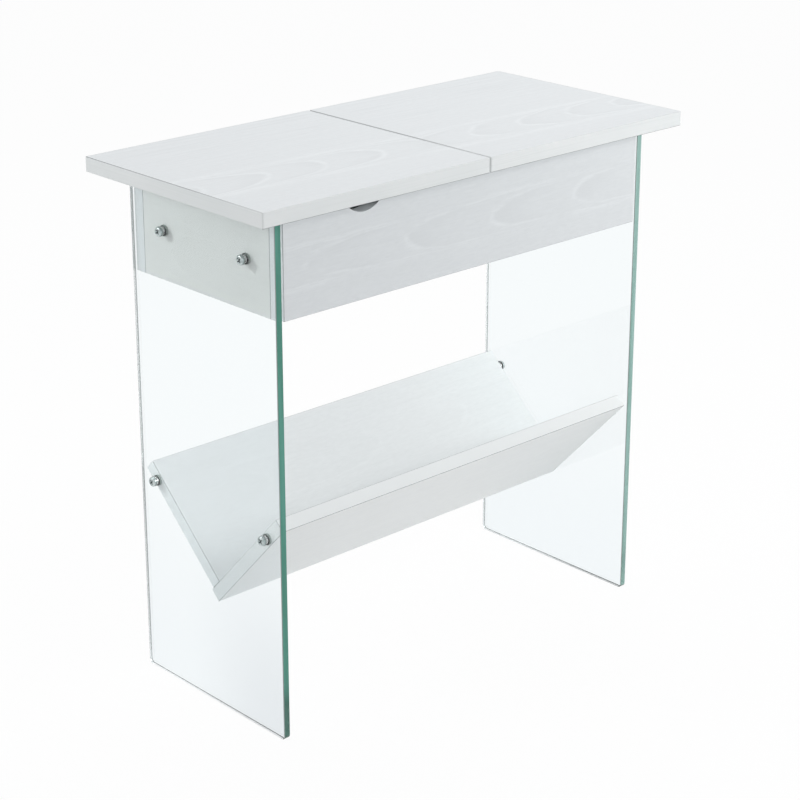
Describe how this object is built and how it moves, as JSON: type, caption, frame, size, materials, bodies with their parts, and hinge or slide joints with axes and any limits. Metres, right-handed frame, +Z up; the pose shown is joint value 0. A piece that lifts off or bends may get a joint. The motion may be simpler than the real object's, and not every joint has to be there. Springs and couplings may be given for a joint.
{
  "type": "lift top end table",
  "caption": "Narrow end table: storage box with a half lift-up lid and finger notch, bolted between clear glass sides above a V-shaped magazine shelf.",
  "frame": {"origin": "bottom centre of the table on the floor", "axes": "+Z up, +X right along the length, -Y front where the finger notch is; the lid is the half at -X"},
  "size_m": [0.6, 0.285, 0.58],
  "materials": {
    "melamine": "white woodgrain melamine on particle board",
    "edge_band": "white satin edge band",
    "thin_panel": "white painted thin hardboard",
    "clear_glass": "clear tempered, ground edges",
    "bolt_chrome": "polished",
    "sleeve_plastic": "translucent nylon",
    "insert_brass": "turned",
    "cam_zinc": "die-cast zinc",
    "dowel_beech": "bare beech",
    "hinge_steel": "zinc plated"
  },
  "bodies": {
    "table": {"front_apron": "melamine", "back_apron": "melamine", "end_board_left": "melamine", "end_board_right": "melamine", "centre_partition": "melamine", "fixed_top_panel": "melamine", "shelf_front_board": "melamine", "shelf_back_board": "melamine", "fixed_top_edge_band": "edge_band", "storage_floor": "thin_panel", "glass_side_left": "clear_glass", "glass_side_right": "clear_glass", "box_bolts_left": "bolt_chrome", "box_bolts_right": "bolt_chrome", "shelf_bolts_left": "bolt_chrome", "shelf_bolts_right": "bolt_chrome", "glass_spacers_left": "bolt_chrome", "glass_spacers_right": "bolt_chrome", "glass_sleeves_left": "sleeve_plastic", "glass_sleeves_right": "sleeve_plastic", "box_inserts_left": "insert_brass", "box_inserts_right": "insert_brass", "shelf_inserts_left": "insert_brass", "shelf_inserts_right": "insert_brass", "box_cam_locks": "cam_zinc", "top_cam_locks": "cam_zinc", "shelf_cam_locks": "cam_zinc", "box_cam_bolts": "hinge_steel", "top_cam_bolts": "hinge_steel", "shelf_cam_bolts": "hinge_steel", "box_dowels": "dowel_beech", "top_dowels": "dowel_beech", "shelf_dowels": "dowel_beech", "hinge_apron_leaf_left": "hinge_steel", "hinge_apron_leaf_right": "hinge_steel", "hinge_pin_left": "hinge_steel", "hinge_pin_right": "hinge_steel", "hinge_apron_screws": "hinge_steel"},
    "lid": {"lift_lid_panel": "melamine", "lift_lid_edge_band": "edge_band", "hinge_lid_leaf_left": "hinge_steel", "hinge_lid_leaf_right": "hinge_steel", "hinge_lid_screws": "hinge_steel"}
  },
  "joints": [
    {"name": "lid_hinge", "type": "hinge", "parent": "table", "child": "lid", "pos_m": [-0.12375, 0.1197, 0.5608], "axis": [-1, 0, 0], "range_deg": [0, 102]}
  ]
}
